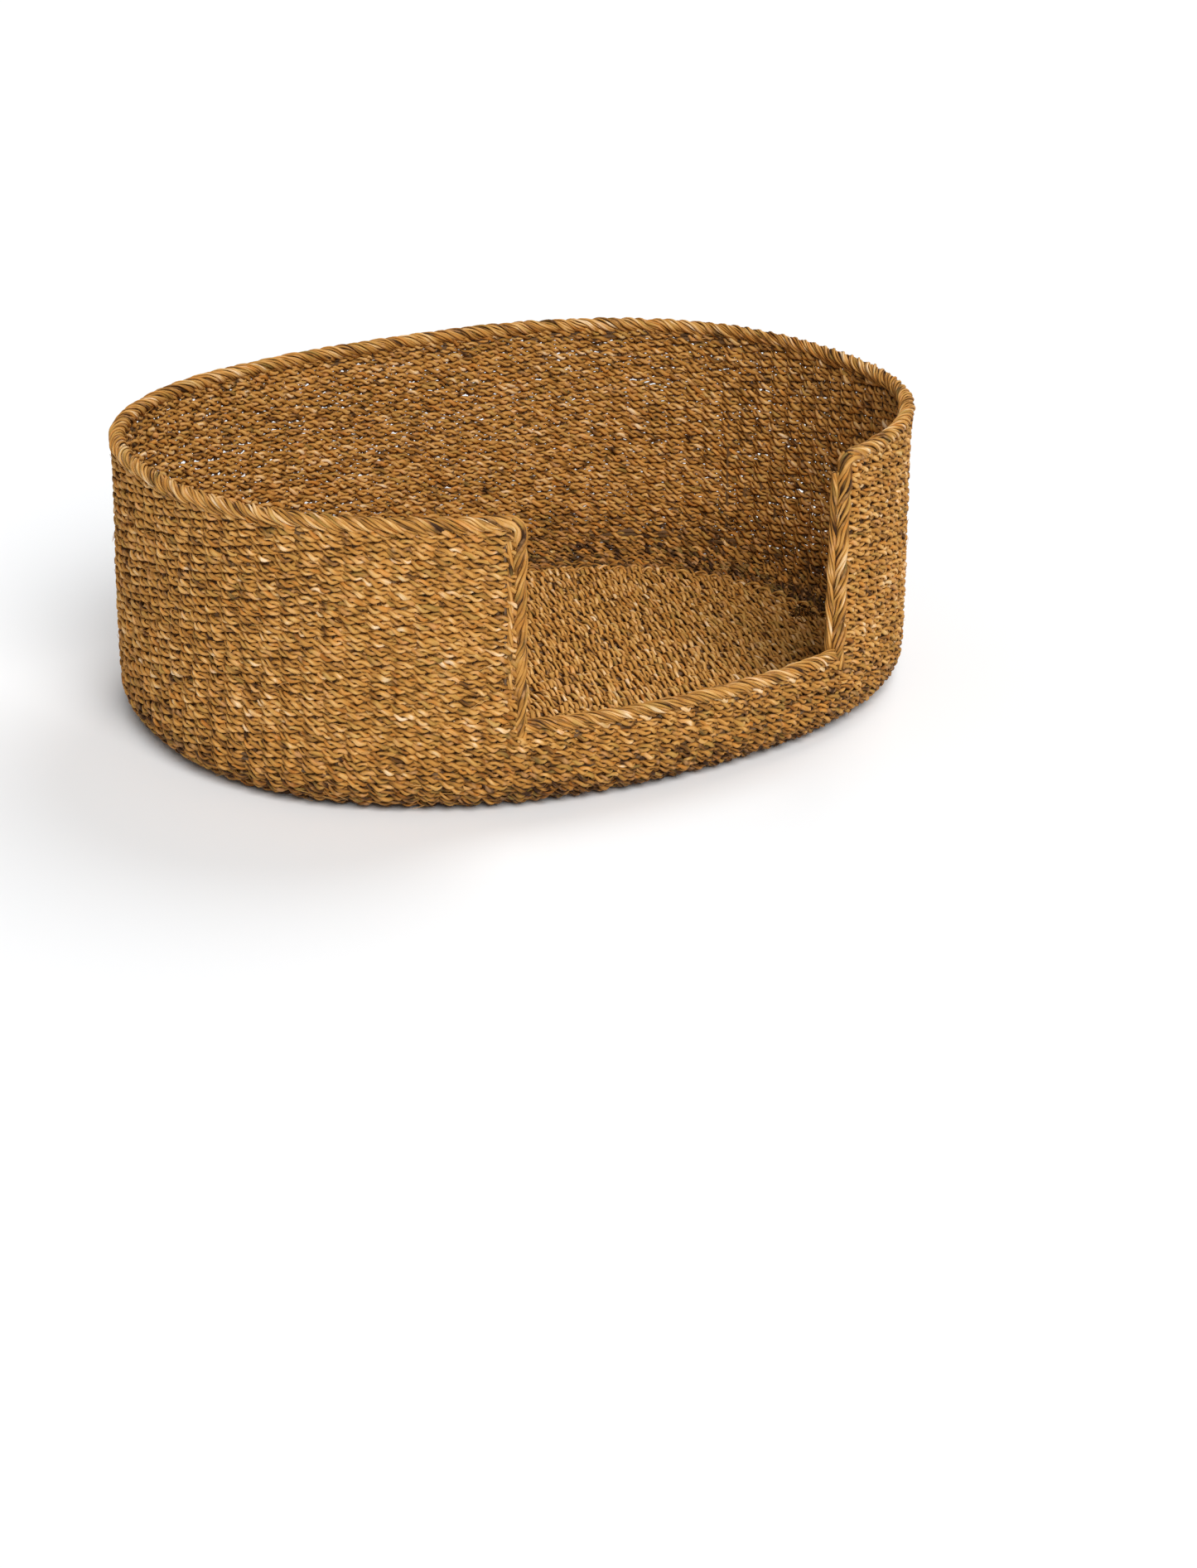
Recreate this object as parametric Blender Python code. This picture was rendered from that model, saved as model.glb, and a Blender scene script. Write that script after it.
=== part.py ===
"""Oval woven sleeping basket for a pet, with a low entrance cut out of its front wall.

The basket is twined over a bent wire frame: pairs of seagrass strands run round upright cords, one
strand outside and one inside. Up is +Z, the entrance faces -Y, and the origin is the centre of the
footprint on the surface that the basket stands on.
"""
import math

import bmesh
import bpy
from mathutils import Vector

# Driving dimensions, in metres.
WIDTH = 0.800            # outside, left to right
DEPTH = 0.622            # outside, front to back
HEIGHT = 0.285           # floor to the top of the rim
FRONT_FULLNESS = 2.20    # superellipse exponent of the front half: 2 is an ellipse
BACK_FULLNESS = 2.45     # the back half is a little squarer
BASE_ROUND = 0.036       # radius by which the wall turns in under the basket
WALL = 0.014             # strand, stake and strand
STRAND = 0.0045          # thickness of one layer of weft strands
ENTRANCE_WIDTH = 0.342   # clear width between the entrance's braids
JAMB_WIDTH = 0.016       # braid along each upright edge of the entrance
JAMB_TOP_ROUND = 0.013   # where the braid turns into the rim
RIM_HEIGHT = 0.0132      # rolled rope border on the wall
BORDER_PROUD = 0.001     # how far the borders stand out from the wall
WIRE_RADIUS = 0.002
CORD_RADIUS = 0.0021     # upright cords and floor warp
GAP = 0.0003             # clearance between touching pieces

# How the weave is divided.
COURSES = 36             # twined rounds from the foot to the rim
SILL_COURSES = 12        # of those, the closed rounds under the entrance
COURSES_PER_BAND = 3     # rounds woven with one length of strand
PACKED_BANDS = 2         # lowest bands, woven tight with no stake layer
STATIONS_OPEN = 30       # straight steps of the outline round the back
STATIONS_FRONT = 6       # straight steps across the entrance
STAKES_PER_STEP = 3
UPRIGHT_STEPS = (2, 7, 12, 17, 22, 27)   # steps whose middle stake is a wire
FLOOR_BANDS = 7
FLOOR_TIP = 0.003        # strip left off each end of the floor's oval
STRIP_EDGE_STEPS = 3     # straight steps along each curved end of a strip
FLOOR_WARP_RUNS = 25
EDGE_COURSE = 0.0081     # width of the round that joins the floor to the wall
CORD_SIDES = 6
BORDER_SIDES = 8
JAMB_TOP_STEPS = 4

# Sizes that follow from the driving dimensions.
HALF_WIDTH = WIDTH / 2
HALF_DEPTH = DEPTH / 2
ARC = BASE_ROUND * math.pi / 2
WALL_TOP = HEIGHT - RIM_HEIGHT - GAP
PITCH = (ARC + WALL_TOP - BASE_ROUND) / COURSES
SILL_TOP = SILL_COURSES * PITCH - ARC + BASE_ROUND
BANDS = COURSES // COURSES_PER_BAND
CLOSED_BANDS = SILL_COURSES // COURSES_PER_BAND
FRAME_DEPTH = WALL / 2
HOOP_Z = BASE_ROUND + WIRE_RADIUS + GAP
WIRE_DROP = WIRE_RADIUS + 3 * GAP
RIM_WIRE_Z = WALL_TOP - WIRE_DROP
SILL_WIRE_Z = SILL_TOP - WIRE_DROP
JAMB_WIRE_INSET = 0.004
FLOOR_INSET = BASE_ROUND + EDGE_COURSE + 2 * GAP

SEAGRASS = (0.47, 0.27, 0.11)
SEAGRASS_PALE = (0.56, 0.36, 0.17)
SEAGRASS_OLIVE = (0.42, 0.27, 0.12)
WIRE_COLOUR = (0.03, 0.03, 0.03)
ARC_SAMPLES = 3600       # short steps that measure the outline's length
SHARP_ANGLE = math.radians(50)


def clear_scene():
    for old in list(bpy.data.objects):
        bpy.data.objects.remove(old, do_unlink=True)


def make_material(name, colour, roughness=0.85, metallic=0.0):
    material = bpy.data.materials.new(name)
    material.use_nodes = True
    shader = material.node_tree.nodes["Principled BSDF"]
    shader.inputs["Base Color"].default_value = (*colour, 1.0)
    shader.inputs["Roughness"].default_value = roughness
    shader.inputs["Metallic"].default_value = metallic
    return material


# ---- outline ------------------------------------------------------------------------------------

def signed_power(value, exponent):
    return math.copysign(abs(value) ** exponent, value)


def outline(angle):
    """Point and outward normal of the outside of the wall; -90 degrees is the front's middle."""
    fullness = FRONT_FULLNESS if math.sin(angle) < 0 else BACK_FULLNESS
    across = signed_power(math.cos(angle), 2 / fullness)
    along = signed_power(math.sin(angle), 2 / fullness)
    point = Vector((HALF_WIDTH * across, HALF_DEPTH * along))
    normal = Vector((signed_power(across, fullness - 1) / HALF_WIDTH,
                     signed_power(along, fullness - 1) / HALF_DEPTH))
    return point, normal.normalized()


def arc_table():
    """Angles and the distance walked round the outline from the front's middle to each."""
    angles = [-math.pi / 2 + 2 * math.pi * i / ARC_SAMPLES for i in range(ARC_SAMPLES + 1)]
    walked = [0.0]
    for previous, current in zip(angles, angles[1:]):
        walked.append(walked[-1] + (outline(current)[0] - outline(previous)[0]).length)
    return angles, walked


ANGLES, WALKED = arc_table()
PERIMETER = WALKED[-1]


def station(distance):
    """Point and normal at a distance round the outline, counter-clockwise from the front's middle."""
    distance %= PERIMETER
    low, high = 0, ARC_SAMPLES
    while high - low > 1:
        middle = (low + high) // 2
        if WALKED[middle] <= distance:
            low = middle
        else:
            high = middle
    share = (distance - WALKED[low]) / (WALKED[high] - WALKED[low])
    return outline(ANGLES[low] + share * (ANGLES[high] - ANGLES[low]))


def distance_at_x(x):
    """How far round the front right of the outline lies a given x."""
    return next(walk for angle, walk in zip(ANGLES, WALKED) if outline(angle)[0].x >= x)


CLEAR_EDGE = distance_at_x(ENTRANCE_WIDTH / 2)
WALL_EDGE = distance_at_x(ENTRANCE_WIDTH / 2 + JAMB_WIDTH)


def spaced(start, end, steps):
    return [station(start + (end - start) * i / steps) for i in range(steps + 1)]


OPEN_STATIONS = spaced(WALL_EDGE, PERIMETER - WALL_EDGE, STATIONS_OPEN)
FRONT_STATIONS = spaced(-WALL_EDGE, WALL_EDGE, STATIONS_FRONT)
CLOSED_STATIONS = OPEN_STATIONS + FRONT_STATIONS[1:-1]


def inset_point(place, depth, z):
    point, normal = place
    flat = point - depth * normal
    return Vector((flat.x, flat.y, z))


def wall_point(place, climb, depth):
    """A point of the wall: climb is measured up its outside from the foot, depth goes inward."""
    if climb >= ARC:
        return inset_point(place, depth, BASE_ROUND + climb - ARC)
    turn = climb / BASE_ROUND
    radius = BASE_ROUND - depth
    return inset_point(place, BASE_ROUND - radius * math.sin(turn), BASE_ROUND - radius * math.cos(turn))


def wire_corner(place, z):
    """A point in the middle of the wall at a station, with its outward direction."""
    return inset_point(place, FRAME_DEPTH, z), Vector((place[1].x, place[1].y, 0))


def between(first, second, share, depth, z):
    """A point on the straight step between two stations, with its outward direction."""
    start = inset_point(first, depth, z)
    end = inset_point(second, depth, z)
    step = (end - start).normalized()
    return start.lerp(end, share), Vector((step.y, -step.x, 0))


# ---- solids -------------------------------------------------------------------------------------

def build_object(name, loops, ring, material, smooth=False):
    """One object lofted through loops of points; a ring joins its last loop to its first."""
    shape = bmesh.new()
    rows = [[shape.verts.new(point) for point in loop] for loop in loops]
    sides = len(rows[0])
    pairs = list(zip(rows, rows[1:]))
    if ring:
        pairs.append((rows[-1], rows[0]))
    else:
        shape.faces.new(rows[0][::-1])
        shape.faces.new(rows[-1])
    for near, far in pairs:
        for side in range(sides):
            after = (side + 1) % sides
            shape.faces.new((near[side], near[after], far[after], far[side]))
    bmesh.ops.recalc_face_normals(shape, faces=shape.faces[:])
    mesh = bpy.data.meshes.new(name)
    shape.to_mesh(mesh)
    shape.free()
    if smooth:
        mesh.shade_smooth()
        mesh.set_sharp_from_angle(angle=SHARP_ANGLE)
    mesh.materials.append(material)
    made = bpy.data.objects.new(name, mesh)
    bpy.context.scene.collection.objects.link(made)


def wall_layer(places, climbs, outer_depth, inner_depth):
    """Loops of one layer of the wall between two depths, along a list of stations."""
    loops = []
    for place in places:
        outside = [wall_point(place, climb, outer_depth) for climb in climbs]
        inside = [wall_point(place, climb, inner_depth) for climb in climbs]
        loops.append(outside + inside[::-1])
    return loops


def ellipse_loop(centre, outward, upward, reach_out, reach_up, sides):
    loop = []
    for side in range(sides):
        turn = 2 * math.pi * (side + 0.5) / sides
        loop.append(centre + outward * (reach_out * math.cos(turn)) + upward * (reach_up * math.sin(turn)))
    return loop


def cord_loops(path, radius, ring):
    """Round cord or wire along (point, outward) pairs that lie in the wall or the floor."""
    points = [point for point, _ in path]
    loops = []
    for number, (point, outward) in enumerate(path):
        before = points[number - 1] if number or ring else None
        after = points[(number + 1) % len(points)] if number + 1 < len(points) or ring else None
        arriving = (point - before).normalized() if before else (after - point).normalized()
        leaving = (after - point).normalized() if after else arriving
        onward = (arriving + leaving).normalized()
        upward = outward.cross(onward).normalized()
        loops.append(ellipse_loop(point, outward, upward, radius, radius / onward.dot(leaving), CORD_SIDES))
    return loops


# ---- weave --------------------------------------------------------------------------------------

def band_climbs(number):
    """Heights up the wall at which a band's section has corners."""
    first = number * COURSES_PER_BAND * PITCH + (GAP if number else 0.0)
    last = (number + 1) * COURSES_PER_BAND * PITCH
    if first >= ARC:
        return [first, last]
    rounds = [first + (last - first) * i / COURSES_PER_BAND for i in range(COURSES_PER_BAND)]
    curved = [climb for climb in rounds if climb < ARC - PITCH / 2]
    straight = [ARC] if last > ARC else []
    return curved + straight + [last]


def make_weft_bands(material):
    for number in range(BANDS):
        climbs = band_climbs(number)
        ring = number < CLOSED_BANDS
        places = CLOSED_STATIONS if ring else OPEN_STATIONS
        name = f"wall_weft_{number + 1:02d}"
        if number < PACKED_BANDS:
            build_object(name, wall_layer(places, climbs, 0.0, WALL), ring, material)
            continue
        build_object(name + "_outer", wall_layer(places, climbs, 0.0, STRAND), ring, material)
        build_object(name + "_inner", wall_layer(places, climbs, WALL - STRAND, WALL), ring, material)


def make_edge_course(material):
    """The round that ties the floor mat to the lowest band."""
    outer = BASE_ROUND + GAP
    inner = outer + EDGE_COURSE
    loops = []
    for place in CLOSED_STATIONS:
        loops.append([inset_point(place, outer, 0.0), inset_point(place, inner, 0.0),
                      inset_point(place, inner, WALL), inset_point(place, outer, WALL)])
    build_object("floor_edge_course", loops, True, material)


def stake_groups(stations, upright_steps):
    """Stakes as (step, first, second, share), in groups that end where a wire stands."""
    groups = [[]]
    for step, (first, second) in enumerate(zip(stations, stations[1:])):
        for number in range(STAKES_PER_STEP):
            if step in upright_steps and number == STAKES_PER_STEP // 2:
                groups.append([])
            else:
                groups[-1].append((step, first, second, (number + 0.5) / STAKES_PER_STEP))
    return groups


def laced_path(stakes, low_z, high_z):
    """One cord laced up and down through neighbouring stakes."""
    path = []
    heights = (low_z, high_z)
    for number, (step, first, second, share) in enumerate(stakes):
        start_z, end_z = heights[number % 2], heights[(number + 1) % 2]
        if number and stakes[number - 1][0] != step:
            path.append(wire_corner(first, start_z))
        for z in (start_z, end_z):
            path.append(between(first, second, share, FRAME_DEPTH, z))
    return path


def make_stakes(material):
    low_z = HOOP_Z + WIRE_RADIUS + GAP + CORD_RADIUS
    under_wire = WIRE_RADIUS + GAP + CORD_RADIUS
    laced = {f"stake_cord_{number + 1}": laced_path(stakes, low_z, RIM_WIRE_Z - under_wire)
             for number, stakes in enumerate(stake_groups(OPEN_STATIONS, UPRIGHT_STEPS))}
    entrance_stakes = stake_groups(FRONT_STATIONS, ())[0]
    laced["stake_cord_entrance"] = laced_path(entrance_stakes, low_z, SILL_WIRE_Z - under_wire)
    for name, path in laced.items():
        build_object(name, cord_loops(path, CORD_RADIUS, False), False, material, smooth=True)


# ---- floor mat ----------------------------------------------------------------------------------

def floor_corners():
    return [inset_point(place, FLOOR_INSET, 0.0) for place in CLOSED_STATIONS]


def crossings(corners, axis, value):
    """Where the floor's outline crosses x = value (axis 0) or y = value (axis 1), low then high."""
    other = 1 - axis
    found = []
    for start, end in zip(corners, corners[1:] + corners[:1]):
        if (start[axis] - value) * (end[axis] - value) < 0:
            share = (value - start[axis]) / (end[axis] - start[axis])
            found.append(start[other] + share * (end[other] - start[other]))
    return min(found), max(found)


def slab(corners, low_z, high_z):
    return [[Vector((x, y, z)) for x, y in corners] for z in (low_z, high_z)]


def make_floor_bands(material):
    """Strips of weft that run front to back, over and under the warp."""
    corners = floor_corners()
    reach = max(corner.x for corner in corners) - FLOOR_TIP
    strip = 2 * reach / FLOOR_BANDS
    for number in range(FLOOR_BANDS):
        left = number * strip - reach + GAP / 2
        right = left + strip - GAP
        cuts = [left + (right - left) * i / STRIP_EDGE_STEPS for i in range(STRIP_EDGE_STEPS + 1)]
        spans = [(x, *crossings(corners, 0, x)) for x in cuts]
        around = [(x, front) for x, front, _ in spans] + [(x, back) for x, _, back in spans[::-1]]
        build_object(f"floor_weft_{number + 1}_lower", slab(around, 0.0, STRAND), False, material)
        build_object(f"floor_weft_{number + 1}_upper", slab(around, WALL - STRAND, WALL), False, material)


def make_floor_warp(material):
    """One cord laced from side to side between the floor's two layers of weft."""
    corners = floor_corners()
    reach = max(corner.y for corner in corners)
    rows = [reach * (2 * (run + 1) / (FLOOR_WARP_RUNS + 1) - 1) for run in range(FLOOR_WARP_RUNS)]
    room = CORD_RADIUS + 2 * GAP
    ends = [min(crossings(corners, 1, y + side)[1] for side in (-room, room)) - room for y in rows]
    upward = Vector((0, 0, 1))
    path = []
    for run, y in enumerate(rows):
        side = 1 if run % 2 else -1
        came_from = ends[run] if run == 0 else min(ends[run], ends[run - 1])
        goes_to = ends[run] if run == FLOOR_WARP_RUNS - 1 else min(ends[run], ends[run + 1])
        path.append((Vector((side * came_from, y, FRAME_DEPTH)), upward))
        path.append((Vector((-side * goes_to, y, FRAME_DEPTH)), upward))
    build_object("floor_warp", cord_loops(path, CORD_RADIUS, False), False, material, smooth=True)


# ---- wire frame ---------------------------------------------------------------------------------

def make_frame(material):
    hoop = [wire_corner(place, HOOP_Z) for place in CLOSED_STATIONS]
    build_object("frame_base_hoop", cord_loops(hoop, WIRE_RADIUS, True), True, material, smooth=True)

    share = JAMB_WIRE_INSET * STATIONS_OPEN / (PERIMETER - 2 * WALL_EDGE)
    path = []
    for z in (SILL_WIRE_Z, RIM_WIRE_Z):
        path.append(between(OPEN_STATIONS[0], OPEN_STATIONS[1], share, FRAME_DEPTH, z))
    path += [wire_corner(place, RIM_WIRE_Z) for place in OPEN_STATIONS[1:-1]]
    for z in (RIM_WIRE_Z, SILL_WIRE_Z):
        path.append(between(OPEN_STATIONS[-2], OPEN_STATIONS[-1], 1 - share, FRAME_DEPTH, z))
    path += [wire_corner(place, SILL_WIRE_Z) for place in FRONT_STATIONS]
    build_object("frame_rim_wire", cord_loops(path, WIRE_RADIUS, True), True, material, smooth=True)

    for number, step in enumerate(UPRIGHT_STEPS):
        path = [between(OPEN_STATIONS[step], OPEN_STATIONS[step + 1], 0.5, FRAME_DEPTH, z)
                for z in (HOOP_Z + WIRE_RADIUS + GAP, RIM_WIRE_Z - WIRE_RADIUS - GAP)]
        loops = cord_loops(path, WIRE_RADIUS, False)
        build_object(f"frame_upright_{number + 1}", loops, False, material, smooth=True)


# ---- borders ------------------------------------------------------------------------------------

def border_loops(places, low_z):
    """Rope border on the top of a wall; its octagon is as wide and as high as the border."""
    reach = WALL / 2 + BORDER_PROUD
    swell = 1 / math.cos(math.pi / BORDER_SIDES)
    loops = []
    for place in places:
        centre = inset_point(place, WALL / 2, low_z + RIM_HEIGHT / 2)
        normal = Vector((place[1].x, place[1].y, 0))
        loops.append(ellipse_loop(centre, normal, Vector((0, 0, 1)),
                                  reach * swell, RIM_HEIGHT / 2 * swell, BORDER_SIDES))
    return loops


def make_borders(material):
    rim = border_loops(OPEN_STATIONS, WALL_TOP + GAP)
    build_object("rim_border", rim, False, material, smooth=True)
    front = spaced(-CLEAR_EDGE + GAP, CLEAR_EDGE - GAP, STATIONS_FRONT)
    sill = border_loops(front, SILL_TOP + GAP)
    build_object("sill_border", sill, False, material, smooth=True)


def jamb_loops(side):
    """Loops up one edge braid; its top turns towards the rim in a quarter round."""
    heights = [(SILL_TOP + GAP, 0.0)]
    for step in range(JAMB_TOP_STEPS + 1):
        turn = math.pi / 2 * step / JAMB_TOP_STEPS
        below_top = JAMB_TOP_ROUND * (1 - math.sin(turn))
        heights.append((HEIGHT - below_top, JAMB_TOP_ROUND * (1 - math.cos(turn))))
    loops = []
    for z, cut in heights:
        near = station(side * (CLEAR_EDGE + cut))
        far = station(side * (WALL_EDGE - GAP))
        loops.append([inset_point(near, -BORDER_PROUD, z), inset_point(far, -BORDER_PROUD, z),
                      inset_point(far, WALL + BORDER_PROUD, z), inset_point(near, WALL + BORDER_PROUD, z)])
    return loops


def make_jambs(material):
    build_object("entrance_braid_right", jamb_loops(1), False, material)
    build_object("entrance_braid_left", jamb_loops(-1), False, material)


def main():
    clear_scene()
    make_weft_bands(make_material("seagrass_weft", SEAGRASS))
    make_edge_course(make_material("seagrass_edge", SEAGRASS_OLIVE))
    make_stakes(make_material("seagrass_stakes", SEAGRASS))
    floor_material = make_material("seagrass_floor", SEAGRASS_OLIVE)
    make_floor_bands(floor_material)
    make_floor_warp(floor_material)
    make_frame(make_material("frame_wire", WIRE_COLOUR, roughness=0.45, metallic=1.0))
    make_borders(make_material("seagrass_border", SEAGRASS_PALE))
    make_jambs(make_material("seagrass_braid", SEAGRASS_PALE))


main()
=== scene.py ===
"""Looks of an oval seagrass pet basket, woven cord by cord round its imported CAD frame.

Every course is two cords, each of two twisted plies. A cord passes in front of one stake and behind
the next, and its neighbours the other way about. Distances round the wall are walked
counter-clockwise from the middle of the front; climbs are measured up the outside of the wall from
the foot; depths go inward. All lengths are in metres. A spread is one standard deviation.
"""
import math

import bpy
import numpy as np
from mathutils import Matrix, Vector


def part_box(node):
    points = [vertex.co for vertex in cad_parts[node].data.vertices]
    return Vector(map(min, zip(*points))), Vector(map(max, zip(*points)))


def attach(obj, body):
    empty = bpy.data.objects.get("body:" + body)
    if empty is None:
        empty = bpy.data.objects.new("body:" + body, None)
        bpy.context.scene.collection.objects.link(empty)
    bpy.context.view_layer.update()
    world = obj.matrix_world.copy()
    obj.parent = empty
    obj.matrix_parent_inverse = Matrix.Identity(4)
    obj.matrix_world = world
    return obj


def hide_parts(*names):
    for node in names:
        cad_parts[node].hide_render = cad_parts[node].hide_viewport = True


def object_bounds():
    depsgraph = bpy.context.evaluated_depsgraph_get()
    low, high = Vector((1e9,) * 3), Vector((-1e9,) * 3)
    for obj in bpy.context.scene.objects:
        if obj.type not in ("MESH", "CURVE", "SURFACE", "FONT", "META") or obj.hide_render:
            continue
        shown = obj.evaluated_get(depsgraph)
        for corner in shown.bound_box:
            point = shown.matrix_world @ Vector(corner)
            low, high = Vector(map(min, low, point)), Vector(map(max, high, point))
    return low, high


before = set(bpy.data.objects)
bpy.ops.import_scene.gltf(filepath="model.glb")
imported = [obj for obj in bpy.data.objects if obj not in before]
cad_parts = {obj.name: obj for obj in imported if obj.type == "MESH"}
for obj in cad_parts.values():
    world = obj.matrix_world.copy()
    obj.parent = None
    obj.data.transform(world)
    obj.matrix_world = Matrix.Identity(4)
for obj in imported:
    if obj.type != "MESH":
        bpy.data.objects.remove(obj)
CAD_LOW, CAD_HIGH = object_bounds()

# The CAD's own rules.
FRONT_FULLNESS = 2.20
BACK_FULLNESS = 2.45
WALL = 0.014
BORDER_PROUD = 0.001
GAP = 0.0003
EDGE_COURSE = 0.0081
BANDS = 12
COURSES_PER_BAND = 3
CLOSED_BANDS = 4
PACKED_BANDS = 2
OPEN_STAKES = 90
FRONT_STAKES = 18
FLOOR_STRIPS = 7
FLOOR_TIP = 0.003
WARP_RUNS = 25

# Sizes read from the frame.
HALF_WIDTH = CAD_HIGH.x - BORDER_PROUD
HALF_DEPTH = CAD_HIGH.y - BORDER_PROUD
HEIGHT = CAD_HIGH.z
WALL_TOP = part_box("rim_border")[0].z - GAP
SILL_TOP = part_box("sill_border")[0].z - GAP
SILL_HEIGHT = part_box("sill_border")[1].z
ENTRANCE_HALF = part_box("sill_border")[1].x
JAMB_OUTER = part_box("entrance_braid_right")[1].x + GAP
BASE_ROUND = HALF_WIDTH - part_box("floor_edge_course")[1].x - GAP
ARC = BASE_ROUND * math.pi / 2
COURSES = BANDS * COURSES_PER_BAND
PITCH = (ARC + WALL_TOP - BASE_ROUND) / COURSES
FLOOR_INSET = BASE_ROUND + EDGE_COURSE + 2 * GAP
ALL_STAKES = OPEN_STAKES + FRONT_STAKES


# ---- outline and wall -----------------------------------------------------------------------------

OUTLINE_POINTS = 7201
UP = (0.0, 0.0, 1.0)


def signed_power(value, exponent):
    return np.copysign(np.abs(value) ** exponent, value)


def outline(angle):
    """Points and outward normals round the outside of the wall; -90 degrees is the front's middle."""
    fullness = np.where(np.sin(angle) < 0, FRONT_FULLNESS, BACK_FULLNESS)
    across = signed_power(np.cos(angle), 2 / fullness)
    along = signed_power(np.sin(angle), 2 / fullness)
    normal_x = signed_power(across, fullness - 1) / HALF_WIDTH
    normal_y = signed_power(along, fullness - 1) / HALF_DEPTH
    length = np.hypot(normal_x, normal_y)
    return HALF_WIDTH * across, HALF_DEPTH * along, normal_x / length, normal_y / length


ANGLES = np.linspace(-math.pi / 2, 1.5 * math.pi, OUTLINE_POINTS)
OUTLINE_X, OUTLINE_Y = outline(ANGLES)[:2]
WALKED = np.concatenate([[0.0], np.cumsum(np.hypot(np.diff(OUTLINE_X), np.diff(OUTLINE_Y)))])
PERIMETER = WALKED[-1]


def distance_at_x(x):
    """How far round the front right of the outline lies a given x."""
    return WALKED[np.argmax(OUTLINE_X >= x)]


CLEAR_EDGE = distance_at_x(ENTRANCE_HALF)
WALL_EDGE = distance_at_x(JAMB_OUTER)
OPEN_STEP = (PERIMETER - 2 * WALL_EDGE) / OPEN_STAKES
FRONT_STEP = 2 * WALL_EDGE / FRONT_STAKES


def station(distance):
    """Points and outward normals of the outline at distances round it."""
    return outline(np.interp(np.mod(distance, PERIMETER), WALKED, ANGLES))


def columns(*values):
    return np.stack(np.broadcast_arrays(*values), axis=-1)


def everywhere(direction, count):
    """One direction, repeated for every point of a line."""
    return np.tile(np.array(direction, float), (count, 1))


def wall(distance, climb, depth):
    """Points of the wall, with the directions out of it and up it."""
    x, y, normal_x, normal_y = station(distance)
    turn = np.clip(climb / BASE_ROUND, 0, math.pi / 2)
    sine, cosine = np.sin(turn), np.cos(turn)
    radius = BASE_ROUND - depth
    inset = BASE_ROUND - radius * sine
    z = BASE_ROUND - radius * cosine + np.maximum(climb - ARC, 0)
    point = columns(x - normal_x * inset, y - normal_y * inset, z)
    outward = columns(normal_x * sine, normal_y * sine, -cosine)
    upward = columns(normal_x * cosine, normal_y * cosine, sine)
    return point, outward, upward


def stake_distance(stake):
    """Distance round the wall at a stake count: the open wall's come first, then the front's."""
    past = np.maximum(stake - OPEN_STAKES, 0)
    return WALL_EDGE + np.minimum(stake, OPEN_STAKES) * OPEN_STEP + past * FRONT_STEP


# ---- strands --------------------------------------------------------------------------------------

LOWEST = 0.0002          # nothing woven lies lower than this above the ground
PLY_SIDES = 6
PLY_LUMP = 0.07          # how uneven a ply's section is, of its half size
FIBRE_TWIST = 105.0      # radians a metre by which fibres wind round a ply
SEED_RANGE = 10          # seeds that set one strand's fibres apart from the next lie below this
SEED_TURN = 7.0          # radians its section is turned by, for a seed of 1
SEED_SHIFT = 3.1         # how far its fibres are moved along, for a seed of 1
EDGE_PAINTED_SHADE = 0.42        # painted shade: how much the tone drops at a strand's edges against its face, where strands press together


def lengths_along(line):
    """How far along a line each of its points lies."""
    return np.concatenate([[0.0], np.cumsum(np.linalg.norm(np.diff(line, axis=0), axis=1))])


def skin(near, closed):
    """The quads between rings of points; a strand that isn't closed on itself gets two ends."""
    if closed:
        far = np.roll(near, -1, axis=0)
    else:
        near, far = near[:-1], near[1:]
    between = np.stack([near, np.roll(near, -1, axis=1), np.roll(far, -1, axis=1), far], axis=-1)
    quads = [between.reshape(-1, 4)]
    if not closed:
        first, last = near[0], far[-1]
        sides = len(first)
        for k in range(sides // 2 - 1):
            corners = [k, k + 1, sides - 2 - k, sides - 1 - k]
            quads.append(first[corners[::-1]][None])
            quads.append(last[corners][None])
    return np.concatenate(quads)


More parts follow.
